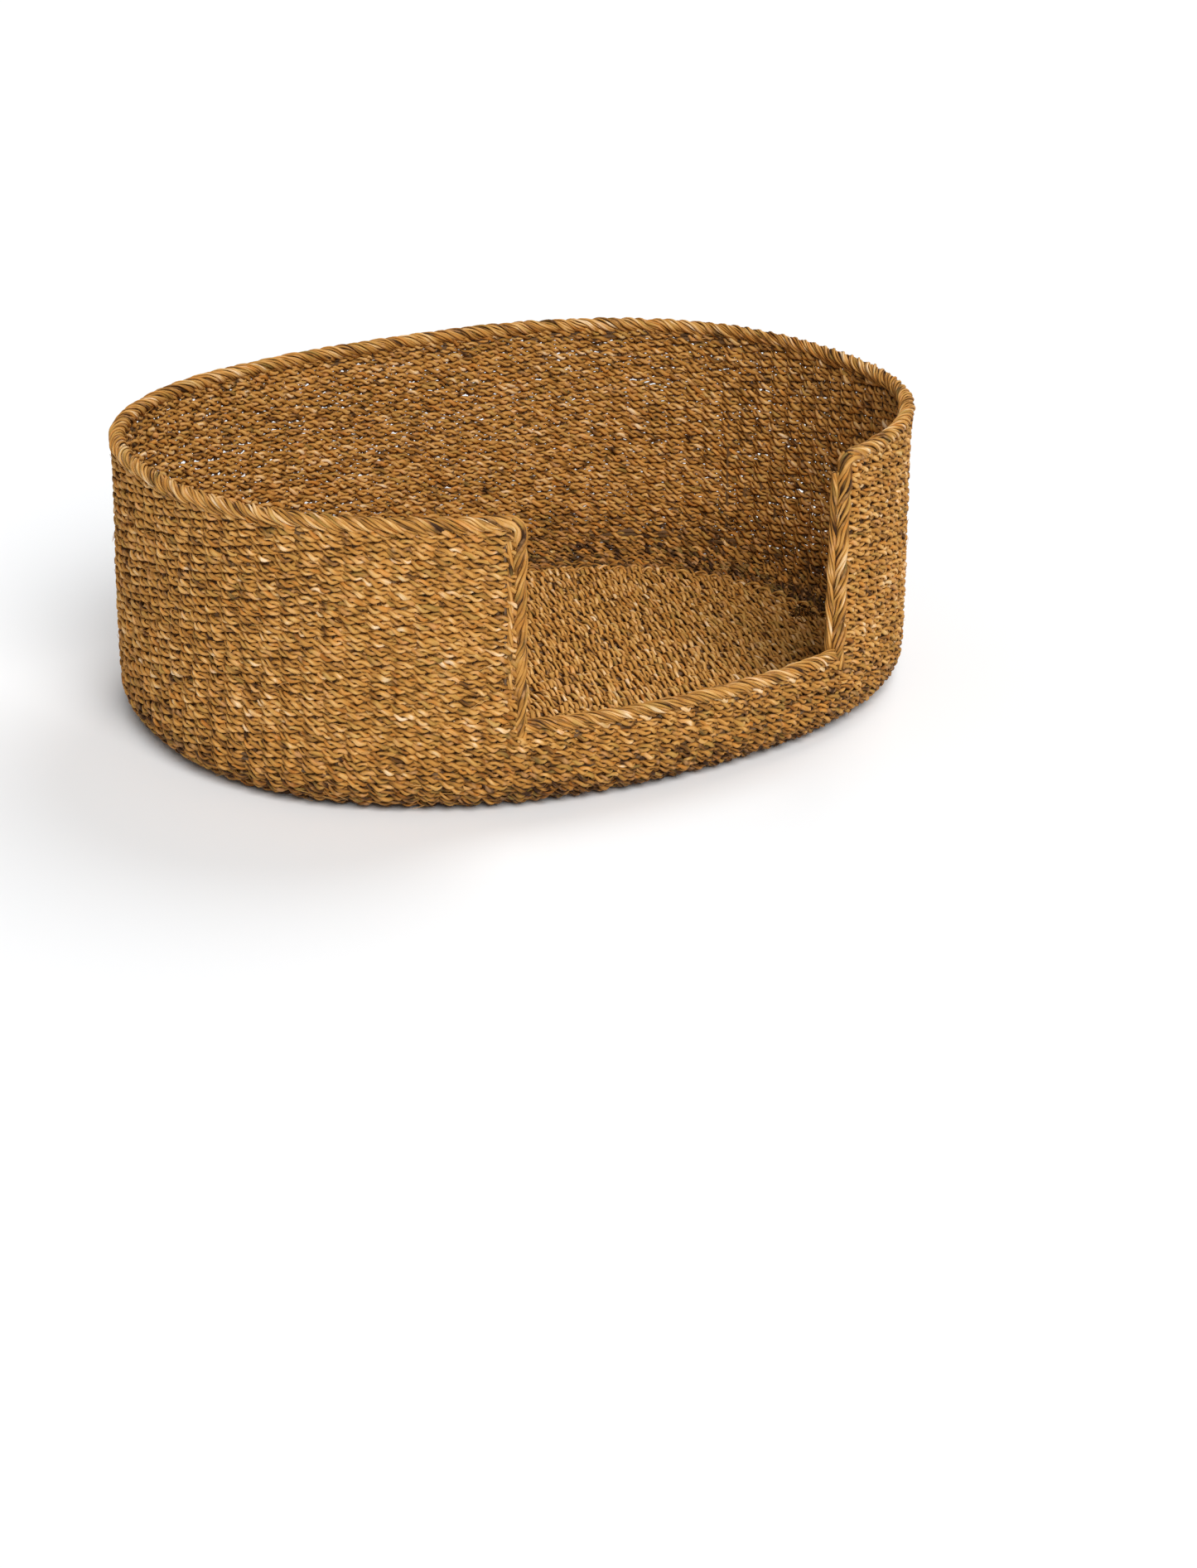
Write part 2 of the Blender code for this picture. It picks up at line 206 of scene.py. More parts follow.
class Weave:
    """Strands gathered into one mesh, with what their material reads at each point."""

    def __init__(self):
        self.points, self.quads, self.tones, self.fibres = [], [], [], []
        self.count = 0

    def add(self, centre, outward, upward, half_out, half_up, tone, seed, sides=PLY_SIDES,
            closed=False, lump=PLY_LUMP):
        """One strand: an uneven oval section carried along a line of centres."""
        rings = len(centre)
        along = lengths_along(centre)
        turn = 2 * math.pi * (np.arange(sides) + 0.5) / sides
        fibre_turn = turn + along[:, None] * FIBRE_TWIST + seed * SEED_TURN
        swell = 1 + lump * np.cos(2 * fibre_turn) + 0.5 * lump * np.cos(3 * fibre_turn + seed)
        out_part = np.broadcast_to(half_out, rings)[:, None] * np.cos(turn) * swell
        up_part = np.broadcast_to(half_up, rings)[:, None] * np.sin(turn) * swell
        points = (centre[:, None] + outward[:, None] * out_part[..., None]
                  + upward[:, None] * up_part[..., None])
        quads = skin(np.arange(rings * sides).reshape(rings, sides), closed)
        facing = np.cross(outward[:-1], upward[:-1])
        if np.sum(facing * np.diff(centre, axis=0)) < 0:
            quads = quads[:, ::-1]
        self.points.append(points.reshape(-1, 3))
        self.quads.append(quads + self.count)
        self.count += rings * sides
        # Painted shade: the tone falls towards the strand's edges, in the creases where it meets its
        # neighbours.
        edge = EDGE_PAINTED_SHADE * np.sin(turn) ** 2
        self.tones.append((np.broadcast_to(tone, rings)[:, None] - edge).ravel())
        radius = 0.5 * (np.mean(half_out) + np.mean(half_up))
        fibre = columns(along[:, None] + seed * SEED_SHIFT, radius * np.cos(fibre_turn) + seed,
                        radius * np.sin(fibre_turn) - seed)
        self.fibres.append(fibre.reshape(-1, 3))

    def build(self, name, material, nodes):
        """The finished piece, standing for its CAD nodes."""
        points = np.concatenate(self.points)
        points[:, 2] = np.maximum(points[:, 2], LOWEST)
        quads = np.concatenate(self.quads)
        mesh = bpy.data.meshes.new(name)
        mesh.vertices.add(len(points))
        mesh.vertices.foreach_set("co", points.astype(np.float32).ravel())
        mesh.loops.add(quads.size)
        mesh.loops.foreach_set("vertex_index", quads.astype(np.int32).ravel())
        mesh.polygons.add(len(quads))
        mesh.polygons.foreach_set("loop_start", np.arange(0, quads.size, 4, dtype=np.int32))
        mesh.polygons.foreach_set("use_smooth", np.ones(len(quads), bool))
        mesh.update(calc_edges=True)
        # The tone attribute holds each strand's own tone with painted shade of edges, crossings and foot
        # taken off.
        tone = mesh.attributes.new("tone", "FLOAT", "POINT")
        tone.data.foreach_set("value", np.concatenate(self.tones).astype(np.float32))
        fibre = mesh.attributes.new("fibre", "FLOAT_VECTOR", "POINT")
        fibre.data.foreach_set("vector", np.concatenate(self.fibres).astype(np.float32).ravel())
        mesh.materials.append(material)
        piece = bpy.data.objects.new(name, mesh)
        bpy.context.scene.collection.objects.link(piece)
        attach(piece, "root")
        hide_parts(*nodes)


# ---- cords ----------------------------------------------------------------------------------------

CORDS_PER_COURSE = 2
CORDS_PER_BAND = COURSES_PER_BAND * CORDS_PER_COURSE
CORD_PITCH = PITCH / CORDS_PER_COURSE
RINGS_PER_STAKE = 10
STAKE_REACH = 0.0038     # how far a cord swings in and out round the stakes
CORD_HALF_THICK = 0.0024
CORD_HALF_HIGH = 0.0037  # where it passes a stake
CORD_HALF_SQUEEZED = 0.0034   # where it crosses between stakes
CORD_LIFT = 0.0003       # a cord leaves a stake this much higher than it came to it
CORD_WANDER = 0.0006     # spread of its line, up and down
PASS_SPREAD = 0.48       # radians by which its crossings come early or late
CROSSING_PAINTED_SHADE = 0.08    # painted shade: how much the tone drops where a cord crosses between stakes and sinks into the weave
PLIES = 2
CORD_TWIST = 0.0225      # length of one full turn of the plies
TWIST_SPREAD = 0.7       # radians
PLY_ORBIT = 0.60         # of the cord's half size
PLY_NARROW = 0.46
PLY_BROAD = 0.74
PLY_SPREAD = 0.10        # of its size

# Tones run from 0, nearly black, to 1, straw.
PLY_TONE = 0.678
TONES_PER_STAKE = 3
STITCH_TONE_SPREAD = 0.17
PALE_ABOVE = 0.975       # of a draw between 0 and 1
PALE_BY = 0.30
DARK_BELOW = 0.02
DARK_BY = 0.22
RUN_TONE_SPREAD = 0.07
RUN_LENGTHS = (8, 60)    # in tones


def by_stake(rng, stake, count, closed, spread):
    """A value that wanders from stake to stake; each draw holds midway between two stakes."""
    values = rng.normal(0, spread, count)
    period = count if closed else None
    return np.interp(stake - 0.5, np.arange(count), values, period=period)


def shade(rng, stake, count):
    """Tones along a ply: a little different in every stitch, and now and then pale or dark."""
    knots = TONES_PER_STAKE * count
    single = rng.normal(0, STITCH_TONE_SPREAD, knots)
    odd = rng.random(knots)
    single += np.where(odd > PALE_ABOVE, PALE_BY, 0) - np.where(odd < DARK_BELOW, DARK_BY, 0)
    runs = np.repeat(rng.normal(0, RUN_TONE_SPREAD, knots), rng.integers(*RUN_LENGTHS, knots))[:knots]
    return PLY_TONE + np.interp(TONES_PER_STAKE * stake - 0.5, np.arange(knots), single + runs)


def passes(rng, cord, stake, count, closed):
    """How far a cord is in front of the stakes, and how far above its middle, as it goes along."""
    phase = math.pi * (stake - 0.5 + cord) + by_stake(rng, stake, count, closed, PASS_SPREAD)
    return np.cos(phase), np.sin(phase)


def cord_half_high(out):
    """A cord's half height, least where it crosses between stakes."""
    return CORD_HALF_SQUEEZED + (CORD_HALF_HIGH - CORD_HALF_SQUEEZED) * out ** 2


# Painted shade where a cord crosses between stakes, in the recess there.
def crossing_painted_shade(out):
    return CROSSING_PAINTED_SHADE * (1 - out ** 2)


def add_cord(weave, rng, stake, count, closed, lines, half_out, half_up, painted_shade=0.0,
             turn_length=CORD_TWIST):
    """Two plies twisted together along a line; each shows as a row of slanting leaf-like stitches."""
    centre, outward, upward = lines
    length = np.sum(np.linalg.norm(np.diff(centre, axis=0), axis=1))
    turns = length / turn_length
    if closed:
        turns = round(turns)
    unevenness = by_stake(rng, stake, count, closed, TWIST_SPREAD)
    twist = 2 * math.pi * turns * np.arange(len(centre)) / len(centre) + unevenness
    start = rng.random() * 2 * math.pi
    for ply in range(PLIES):
        angle = twist + start + 2 * math.pi * ply / PLIES
        out, rise = np.cos(angle), np.sin(angle)
        plump = 1 + by_stake(rng, stake, count, closed, PLY_SPREAD)
        out_part = outward * (PLY_ORBIT * half_out * out)[:, None]
        up_part = upward * (PLY_ORBIT * half_up * rise)[:, None]
        line = centre + out_part - up_part
        ply_out = plump * half_out * (PLY_NARROW + (PLY_BROAD - PLY_NARROW) * rise ** 2)
        ply_up = plump * half_up * (PLY_NARROW + (PLY_BROAD - PLY_NARROW) * out ** 2)
        # Painted shade handed in by the caller is taken off the ply's tone.
        tone = shade(rng, stake, count) - painted_shade
        weave.add(line, outward, upward, ply_out, ply_up, tone, rng.random() * SEED_RANGE, closed=closed)


# ---- wall -----------------------------------------------------------------------------------------

WALL_SEED = 100
END_TUCK = 0.3           # stakes by which a course runs on under the rope at the entrance's side
CORD_SINK = 0.00025      # spread of a cord's line, in and out
CORD_SPREAD = 0.09       # of its size
PACKED_SIZE = 1.10       # of a cord where the wall is packed close
LOOSE_LESS = 0.12        # how much less it is where the wall is loosest
FOOT_PAINTED_SHADE = 0.46        # painted shade: how much the tone drops at the foot, low by the floor where less light reaches
FOOT_SHARE = 0.34        # of the wall's height over which that fades

# The loose part of the wall, in shares of the way round and of the height.
LOOSE_MIDDLE = 0.59
LOOSE_PEAK = 1.45
LOOSE_FALL = 4.0
LOOSE_FROM = 0.30
LOOSE_RISE = 0.35
LOOSE_LEVEL = 0.6

# Waves over the wall: size, how many go round it, start, and radians gained from foot to top.
LOOSE_WAVES = ((0.4, 5, 0.0, 9.0), (1.0, 2, 0.0, 4.0))
SWAY_WAVES = ((0.0013, 3, 1.3, 2.0), (0.0009, 8, 4.1, 5.0), (0.0005, 19, 0.7, 9.0))
BULGE_WAVES = ((0.0011, 5, 0.0, 3.0), (0.0008, 13, 0.0, -5.0))

# Stray fibres, and other single loose ones.
STRAY_FIBRES = 90        # in a band
STRAY_LENGTHS = (0.008, 0.022)
STRAY_CLIMB = 0.5        # of its length by which a fibre bends up or down
STRAY_ROOT = 0.0045      # from the wall's middle
STRAY_STANDING = (0.001, 0.0045)
STRAY_HALF = 0.00042
STRAY_TAPER = 0.6
STRAY_TONE = 0.75
STRAY_TONE_SPREAD = 0.1
FIBRE_RINGS = 6
FIBRE_SIDES = 4


def shares(distance, climb):
    """How much of the way round the wall, and of the way up it."""
    return distance / PERIMETER, climb / (COURSES * PITCH)


def wave(share, height, size, number, start, gain):
    return size * np.sin(2 * math.pi * number * share + start + gain * height)


def looseness(distance, climb):
    """How open the weave is, 0 to 1: most in the upper back."""
    share, height = shares(distance, climb)
    back = np.clip(LOOSE_PEAK - LOOSE_FALL * np.abs(share - LOOSE_MIDDLE), 0, 1)
    first, second = [wave(share, height, *each) for each in LOOSE_WAVES]
    upper = np.clip((height - LOOSE_FROM) / LOOSE_RISE, 0, 1)
    return np.clip(back * (LOOSE_LEVEL + first * second) * upper, 0, 1)


def footing(climb):
    """1 at the foot of the wall, falling to 0 a third of the way up; it sets the painted shade of the
    foot.
    """
    return min(max(1 - climb / (FOOT_SHARE * COURSES * PITCH), 0), 1)


def sway(distance, climb):
    """Gentle waves of the courses, up and down."""
    share, height = shares(distance, climb)
    fade = np.sin(math.pi * np.clip(height, 0, 1)) ** 0.5
    return sum(wave(share, height, *each) for each in SWAY_WAVES) * fade


def bulge(distance, climb):
    """Slow unevenness of the wall, in and out."""
    share, height = shares(distance, climb)
    fade = np.sin(math.pi * np.clip(height, 0, 1))
    return sum(wave(share, height, *each) for each in BULGE_WAVES) * fade


def weave_cord(weave, rng, cord):
    """One cord in and out of the stakes."""
    closed = cord < CLOSED_BANDS * CORDS_PER_BAND
    count = ALL_STAKES if closed else OPEN_STAKES
    if closed:
        stake = np.arange(count * RINGS_PER_STAKE) / RINGS_PER_STAKE
    else:
        stake = np.linspace(-END_TUCK, count + END_TUCK, count * RINGS_PER_STAKE)
    distance = stake_distance(stake)
    middle = (cord + 0.5) * CORD_PITCH
    out, lift = passes(rng, cord, stake, count, closed)
    wander = by_stake(rng, stake, count, closed, CORD_WANDER)
    climb = middle + sway(distance, middle) + CORD_LIFT * lift + wander
    sink = by_stake(rng, stake, count, closed, CORD_SINK)
    depth = WALL / 2 + bulge(distance, middle) - STAKE_REACH * out - sink
    size = PACKED_SIZE - LOOSE_LESS * looseness(distance, middle)
    plump = (1 + by_stake(rng, stake, count, closed, CORD_SPREAD)) * size
    # Painted shade of the foot and of the crossings between stakes.
    painted_shade = FOOT_PAINTED_SHADE * footing(middle) + crossing_painted_shade(out)
    add_cord(weave, rng, stake, count, closed, wall(distance, climb, depth),
             CORD_HALF_THICK * plump, plump * cord_half_high(out), painted_shade)


def add_stray_fibres(weave, rng, band):
    """Thin ends of leaf that stand off both faces of the wall."""
    share = np.linspace(0, 1, FIBRE_RINGS)
    for _ in range(STRAY_FIBRES):
        side = rng.choice([-1, 1])
        start = WALL_EDGE + rng.random() * (PERIMETER - 2 * WALL_EDGE)
        level = (band + rng.random()) * COURSES_PER_BAND * PITCH
        run = rng.uniform(*STRAY_LENGTHS) * rng.choice([-1, 1])
        distance = start + run * share
        climb = level + rng.uniform(-STRAY_CLIMB, STRAY_CLIMB) * abs(run) * share ** 2
        depth = WALL / 2 - side * (STRAY_ROOT + rng.uniform(*STRAY_STANDING) * share)
        centre, outward, upward = wall(distance, climb, depth)
        thin = STRAY_HALF * (1 - STRAY_TAPER * share)
        tone = STRAY_TONE + rng.normal(0, STRAY_TONE_SPREAD)
        weave.add(centre, outward, upward, thin, thin, tone, rng.random() * SEED_RANGE, FIBRE_SIDES)


def make_wall(material):
    for band in range(BANDS):
        rng = np.random.default_rng(WALL_SEED + band)
        weave = Weave()
        for cord in range(band * CORDS_PER_BAND, (band + 1) * CORDS_PER_BAND):
            weave_cord(weave, rng, cord)
        add_stray_fibres(weave, rng, band)
        node = f"wall_weft_{band + 1:02d}"
        nodes = [node] if band < PACKED_BANDS else [node + "_outer", node + "_inner"]
        weave.build(f"woven_band_{band + 1:02d}", material, nodes)


# ---- borders --------------------------------------------------------------------------------------

ROPE_STEP = 0.0028       # between a rope's rings
ROPE_HALF_OUT = 0.0078   # from its middle to its outer face
ROPE_CORE = 0.66         # of the rope's half size
# Painted shade: the hidden core is toned deep so the gaps between strands read as shadow.
ROPE_CORE_SHADED_TONE = 0.38
ROPE_CORE_SEED = 1.0
ROPE_KNOT = 0.013        # between the random changes along its leaves
ROPE_FEWEST_KNOTS = 3
STRAND_TURN_SPREAD = 0.20     # radians
STRAND_PROUD = 1.03      # how far out a strand lies, of the rope's half size
STRAND_PROUD_SPREAD = 0.06
STRAND_TONE = 0.71
STRAND_TONE_SPREAD = 0.04     # from strand to strand
STRAND_TONE_WANDER = 0.11     # along one
LEAF_HALF = 2.5          # a leaf's half width, times the number of leaves, against the rope's half size
LEAF_THICK = 0.70        # of its half width
LEAF_SIDE_BROAD = 0.80   # of its half width, at the rope's side
LEAF_FACE_BROADER = 0.32      # and so much more at its face
LEAF_BROAD_SPREAD = 0.14
LEAF_TURN_SPREAD = 0.06  # radians
LEAF_PROUD_SPREAD = 0.04
LEAF_TONE_SPREAD = 0.06  # from leaf to leaf
LEAF_TONE_WANDER = 0.19  # along one
LEAF_LUMP = 0.09
BUNCH = 3                # leaves that lie together as one strand of a rope
BUNCH_CLOSE = 0.86       # how close they lie, against leaves spread evenly
BUNCH_DROP = 0.22        # how much further in its outer leaves lie, of the rope's half size

BORDER_HALF = 0.0066     # from a border's middle to the wall below it
BORDER_STRANDS = 4
BORDER_HAND = -1         # the way its strands turn
RIM_HALF = 0.0077
RIM_DROP = 0.0008        # its top lies this far below the CAD's, as single leaves stand higher
RIM_FACING = 20          # degrees the rope leans
RIM_LAY = 0.060          # length of one full turn of its strands
RIM_OVER = 0.002         # how far it runs over the entrance's side
RIM_SEED = 21
SILL_HALF = 0.0072
SILL_FACING = 30
SILL_LAY = 0.062
SILL_OVER = 0.003
SILL_SEED = 22

JAMB_SEED = 40
JAMB_HALF = 0.0068
JAMB_STRANDS = 3
JAMB_LAY = 0.092
JAMB_PROUD = 0.001
JAMB_FOOT = 0.008        # how far below the sill's rope it begins
JAMB_BEND = 0.010        # radius of its turn over the corner
BEND_RINGS = 6
JAMB_OVER = (0.003, 0.024)    # from the bend, where it runs on under the rim

# The thinner rope beside it: its distance from the entrance, and how proud it stands. The distance is
# given below zero where it lies on the wall's side of the main rope, and else moves the main rope back.
RIGHT_SIDE_ROPE = (0.0030, -0.0045)
LEFT_SIDE_ROPE = (-0.0165, 0.0)
SIDE_ROPE_IN = 0.001     # how much nearer the entrance it is pressed
SIDE_ROPE_HALF = 0.0036
SIDE_ROPE_HALF_OUT = 0.0042
SIDE_ROPE_LAY = 0.070
SIDE_ROPE_STRANDS = 2


def rope(weave, rng, lines, half_across, half_out, length, hand, strands):
    """Strands twisted side by side round a core, each a rounded bunch of leaves."""
    centre, across, outward = lines
    along = lengths_along(centre)
    knots = np.linspace(0, along[-1], max(int(along[-1] / ROPE_KNOT), ROPE_FEWEST_KNOTS))

    def wandering(spread):
        return np.interp(along, knots, rng.normal(0, spread, len(knots)))

    leaves = strands * BUNCH
    half = LEAF_HALF * (half_across + half_out) / 2 / leaves
    thick = LEAF_THICK * half
    weave.add(centre, outward, across, ROPE_CORE * half_out, ROPE_CORE * half_across,
              ROPE_CORE_SHADED_TONE, ROPE_CORE_SEED)
    for strand in range(strands):
        strand_turn = 2 * math.pi * (hand * along / length + strand / strands)
        strand_turn = strand_turn + wandering(STRAND_TURN_SPREAD)
        strand_proud = STRAND_PROUD + wandering(STRAND_PROUD_SPREAD)
        strand_tone = STRAND_TONE + rng.normal(0, STRAND_TONE_SPREAD) + wandering(STRAND_TONE_WANDER)
        for leaf in range(BUNCH):
            offset = leaf - (BUNCH - 1) / 2
            phase = strand_turn + 2 * math.pi * BUNCH_CLOSE * offset / leaves + wandering(LEAF_TURN_SPREAD)
            out, side = np.cos(phase)[:, None], np.sin(phase)[:, None]
            proud = (strand_proud - BUNCH_DROP * abs(offset) + wandering(LEAF_PROUD_SPREAD))[:, None]
            from_core = across * (half_across - thick) * side + outward * (half_out - thick) * out
            middle = centre + proud * from_core
            radial = across * side + outward * out
            sideways = np.cross(radial, np.gradient(middle, axis=0))
            sideways /= np.linalg.norm(sideways, axis=1)[:, None]
            broad = half * (LEAF_SIDE_BROAD + LEAF_FACE_BROADER * out[:, 0] ** 2)
            broad = broad * (1 + wandering(LEAF_BROAD_SPREAD))
            tone = strand_tone + rng.normal(0, LEAF_TONE_SPREAD) + wandering(LEAF_TONE_WANDER)
            weave.add(middle, radial, sideways, thick, broad, tone, rng.random() * SEED_RANGE,
                      lump=LEAF_LUMP)


def turned(first, second, degrees):
    """The first direction turned towards the second."""
    angle = math.radians(degrees)
    return first * math.cos(angle) + second * math.sin(angle)


def border_along_wall(name, ends, height, facing, half_across, length, seed, node, material):
    """A rope along the top of the wall, and the cord that binds it there."""
    start, end = ends
    distance = np.linspace(start, end, int((end - start) / ROPE_STEP))
    x, y, normal_x, normal_y = station(distance)
    centre = columns(x - normal_x * WALL / 2, y - normal_y * WALL / 2, height - half_across)
    normal = columns(normal_x, normal_y, 0.0)
    upward = everywhere(UP, len(distance))
    weave = Weave()
    lines = (centre, turned(upward, -normal, facing), turned(normal, upward, facing))
    rng = np.random.default_rng(seed)
    rope(weave, rng, lines, half_across, ROPE_HALF_OUT, length, BORDER_HAND, BORDER_STRANDS)
    stake = (distance - WALL_EDGE) / OPEN_STEP
    count = math.ceil(stake[-1]) + 2
    out, lift = passes(rng, 0, stake, count, False)
    level = height - 2 * BORDER_HALF - CORD_LIFT * lift
    binder = columns(centre[:, 0], centre[:, 1], level) + normal * (STAKE_REACH * out)[:, None]
    add_cord(weave, rng, stake, count, False, (binder, normal, upward), CORD_HALF_THICK,
             cord_half_high(out))
    weave.build(name, material, [node])


def jamb(side, side_rope, side_rope_proud, material):
    """Rope up one side of the entrance, turned over the corner into the rim, with a thinner one by it."""
    low = SILL_TOP - JAMB_FOOT
    high = HEIGHT - RIM_HALF - JAMB_BEND
    straight = np.arange(low, high, ROPE_STEP)
    turn = np.linspace(0, math.pi / 2, BEND_RINGS)
    level = np.arange(*JAMB_OVER, ROPE_STEP)
    height = np.concatenate([straight, high + JAMB_BEND * np.sin(turn), 0 * level + (high + JAMB_BEND)])
    over = np.concatenate([0 * straight, JAMB_BEND * (1 - np.cos(turn)), JAMB_BEND + level])
    lean = np.concatenate([0 * straight, turn, 0 * level + math.pi / 2])
    weave = Weave()
    rng = np.random.default_rng(JAMB_SEED + side)

    def lines_at(middle, proud, points):
        x, y, normal_x, normal_y = station(side * (middle + over[:points]))
        inset = WALL / 2 - proud
        centre = columns(x - normal_x * inset, y - normal_y * inset, height[:points])
        normal = columns(normal_x, normal_y, 0.0)
        opening = columns(normal_y, -normal_x, 0.0) * side
        upward = everywhere(UP, points)
        inside = opening * np.cos(lean[:points])[:, None] + upward * np.sin(lean[:points])[:, None]
        return centre, inside, normal

    main_lines = lines_at(CLEAR_EDGE + JAMB_HALF + max(side_rope, 0), JAMB_PROUD, len(height))
    rope(weave, rng, main_lines, JAMB_HALF, ROPE_HALF_OUT, JAMB_LAY, -side, JAMB_STRANDS)
    thin_lines = lines_at(CLEAR_EDGE + abs(side_rope) - SIDE_ROPE_IN, side_rope_proud, len(straight))
    rope(weave, rng, thin_lines, SIDE_ROPE_HALF, SIDE_ROPE_HALF_OUT, SIDE_ROPE_LAY, side,
         SIDE_ROPE_STRANDS)
    name = "right" if side > 0 else "left"
    weave.build(f"entrance_plait_{name}", material, [f"entrance_braid_{name}"])


def make_borders(material, jamb_shaded_material):
    rim_ends = (WALL_EDGE - RIM_OVER, PERIMETER - WALL_EDGE + RIM_OVER)
    border_along_wall("rim_plait", rim_ends, HEIGHT - RIM_DROP, RIM_FACING, RIM_HALF, RIM_LAY,
                      RIM_SEED, "rim_border", material)
    sill_ends = (-CLEAR_EDGE - SILL_OVER, CLEAR_EDGE + SILL_OVER)
    border_along_wall("sill_plait", sill_ends, SILL_HEIGHT, SILL_FACING, SILL_HALF, SILL_LAY,
                      SILL_SEED, "sill_border", material)
    jamb(1, *RIGHT_SIDE_ROPE, jamb_shaded_material)
    jamb(-1, *LEFT_SIDE_ROPE, jamb_shaded_material)


# ---- floor ----------------------------------------------------------------------------------------

FLOOR_SEED = 300
FLOOR_CORDS = 24         # in a strip
FLOOR_RING = 0.0025      # between a floor cord's rings
FLOOR_FEWEST_RINGS = 4
FLOOR_OVER = 0.005       # how far the floor's cords reach over the edge course
FLOOR_TWIST = 0.042      # the floor's cords are twisted less
FLOOR_CORD_SPREAD = 0.07      # of a cord's size
FLOOR_WAVES = ((0.0013, 23, 9), (0.0009, 51, -14))    # size, radians a metre along and across
WARP_SPARE = 5           # draws beyond the warp's runs, half at each end
EDGE_SEED = 60

TUFT_PLACE = (0.338, -0.018)
TUFT_ENDS = 26
TUFT_LENGTHS = (0.006, 0.013)
TUFT_SPREAD = 0.004      # of where its ends start
TUFT_RISE = 0.005
TUFT_RISES = (0.4, 1.4)  # least and most, against that
TUFT_HALF = 0.0009
TUFT_TAPER = 0.4
TUFT_TONES = (0.05, 0.30)


def floor_outline():
    x, y, normal_x, normal_y = outline(ANGLES)
    return x - normal_x * FLOOR_INSET, y - normal_y * FLOOR_INSET


def add_tuft(weave, rng):
    """A knot of dark loose ends where the floor meets the right side of the wall."""
    share = np.linspace(0, 1, FIBRE_RINGS)
    upward = everywhere(UP, FIBRE_RINGS)
    thin = TUFT_HALF * (1 - TUFT_TAPER * share)
    for _ in range(TUFT_ENDS):
        heading = rng.random() * 2 * math.pi
        reach = rng.uniform(*TUFT_LENGTHS)
        x = TUFT_PLACE[0] + TUFT_SPREAD * rng.normal() + reach * share * math.cos(heading)
        y = TUFT_PLACE[1] + TUFT_SPREAD * rng.normal() + reach * share * math.sin(heading)
        z = WALL + TUFT_RISE * np.sin(math.pi * share) * rng.uniform(*TUFT_RISES)
        side = everywhere((-math.sin(heading), math.cos(heading), 0.0), FIBRE_RINGS)
        tone = rng.uniform(*TUFT_TONES)
        weave.add(columns(x, y, z), upward, side, thin, thin, tone, rng.random() * SEED_RANGE,
                  FIBRE_SIDES)


def add_floor_cord(weave, rng, cord, x, low, high, reach_y):
    """One cord from front to back, over and under the warp."""
    y = np.linspace(low, high, max(int((high - low) / FLOOR_RING), FLOOR_FEWEST_RINGS))
    count = WARP_RUNS + WARP_SPARE
    warp_step = 2 * reach_y / (WARP_RUNS + 1)
    stake = (y + reach_y) / warp_step + WARP_SPARE / 2
    out, lift = passes(rng, cord, stake, count, False)
    drift = sum(size * np.sin(y * along + x * across) for size, along, across in FLOOR_WAVES)
    wander = by_stake(rng, stake, count, False, CORD_WANDER)
    across = x + drift - CORD_LIFT * lift + wander
    plump = 1 + by_stake(rng, stake, count, False, FLOOR_CORD_SPREAD)
    lines = (columns(across, y, WALL / 2 + STAKE_REACH * out), everywhere(UP, len(y)),
             everywhere((-1.0, 0.0, 0.0), len(y)))
    # The floor's cords get the painted shade of their crossings.
    add_cord(weave, rng, stake, count, False, lines, CORD_HALF_THICK * plump,
             plump * cord_half_high(out), crossing_painted_shade(out), FLOOR_TWIST)


def make_floor(material):
    edge_x, edge_y = floor_outline()
    reach_x, reach_y = edge_x.max() - FLOOR_TIP, edge_y.max()
    front, back = edge_y < 0, edge_y >= 0
    front_order = np.argsort(edge_x[front])
    back_order = np.argsort(edge_x[back])
    step = 2 * reach_x / (FLOOR_STRIPS * FLOOR_CORDS)
    for strip in range(FLOOR_STRIPS):
        rng = np.random.default_rng(FLOOR_SEED + strip)
        weave = Weave()
        for cord in range(strip * FLOOR_CORDS, (strip + 1) * FLOOR_CORDS):
            x = -reach_x + (cord + 0.5) * step
            low = np.interp(x, edge_x[front][front_order], edge_y[front][front_order]) - FLOOR_OVER
            high = np.interp(x, edge_x[back][back_order], edge_y[back][back_order]) + FLOOR_OVER
            add_floor_cord(weave, rng, cord, x, low, high, reach_y)
        if strip == FLOOR_STRIPS - 1:
            add_tuft(weave, rng)
        weave.build(f"floor_mat_{strip + 1}", material,
                    [f"floor_weft_{strip + 1}_lower", f"floor_weft_{strip + 1}_upper"])


def make_floor_edge(material):
    """The round of two cords that ties the floor mat to the wall."""
    rng = np.random.default_rng(EDGE_SEED)
    weave = Weave()
    stake = np.arange(ALL_STAKES * RINGS_PER_STAKE) / RINGS_PER_STAKE
    x, y, normal_x, normal_y = station(stake_distance(stake))
    normal = columns(normal_x, normal_y, 0.0)
    upward = everywhere(UP, len(stake))
    middle = BASE_ROUND + GAP + EDGE_COURSE / 2
    for cord in range(CORDS_PER_COURSE):
        out, lift = passes(rng, cord, stake, ALL_STAKES, True)
        inset = middle + CORD_PITCH * (cord - 0.5) - CORD_LIFT * lift
        centre = columns(x - normal_x * inset, y - normal_y * inset, WALL / 2 + STAKE_REACH * out)
        add_cord(weave, rng, stake, ALL_STAKES, True, (centre, upward, normal), CORD_HALF_THICK,
                 cord_half_high(out))
    weave.build("floor_edge_twining", material, ["floor_edge_course"])


# ---- materials ------------------------------------------------------------------------------------

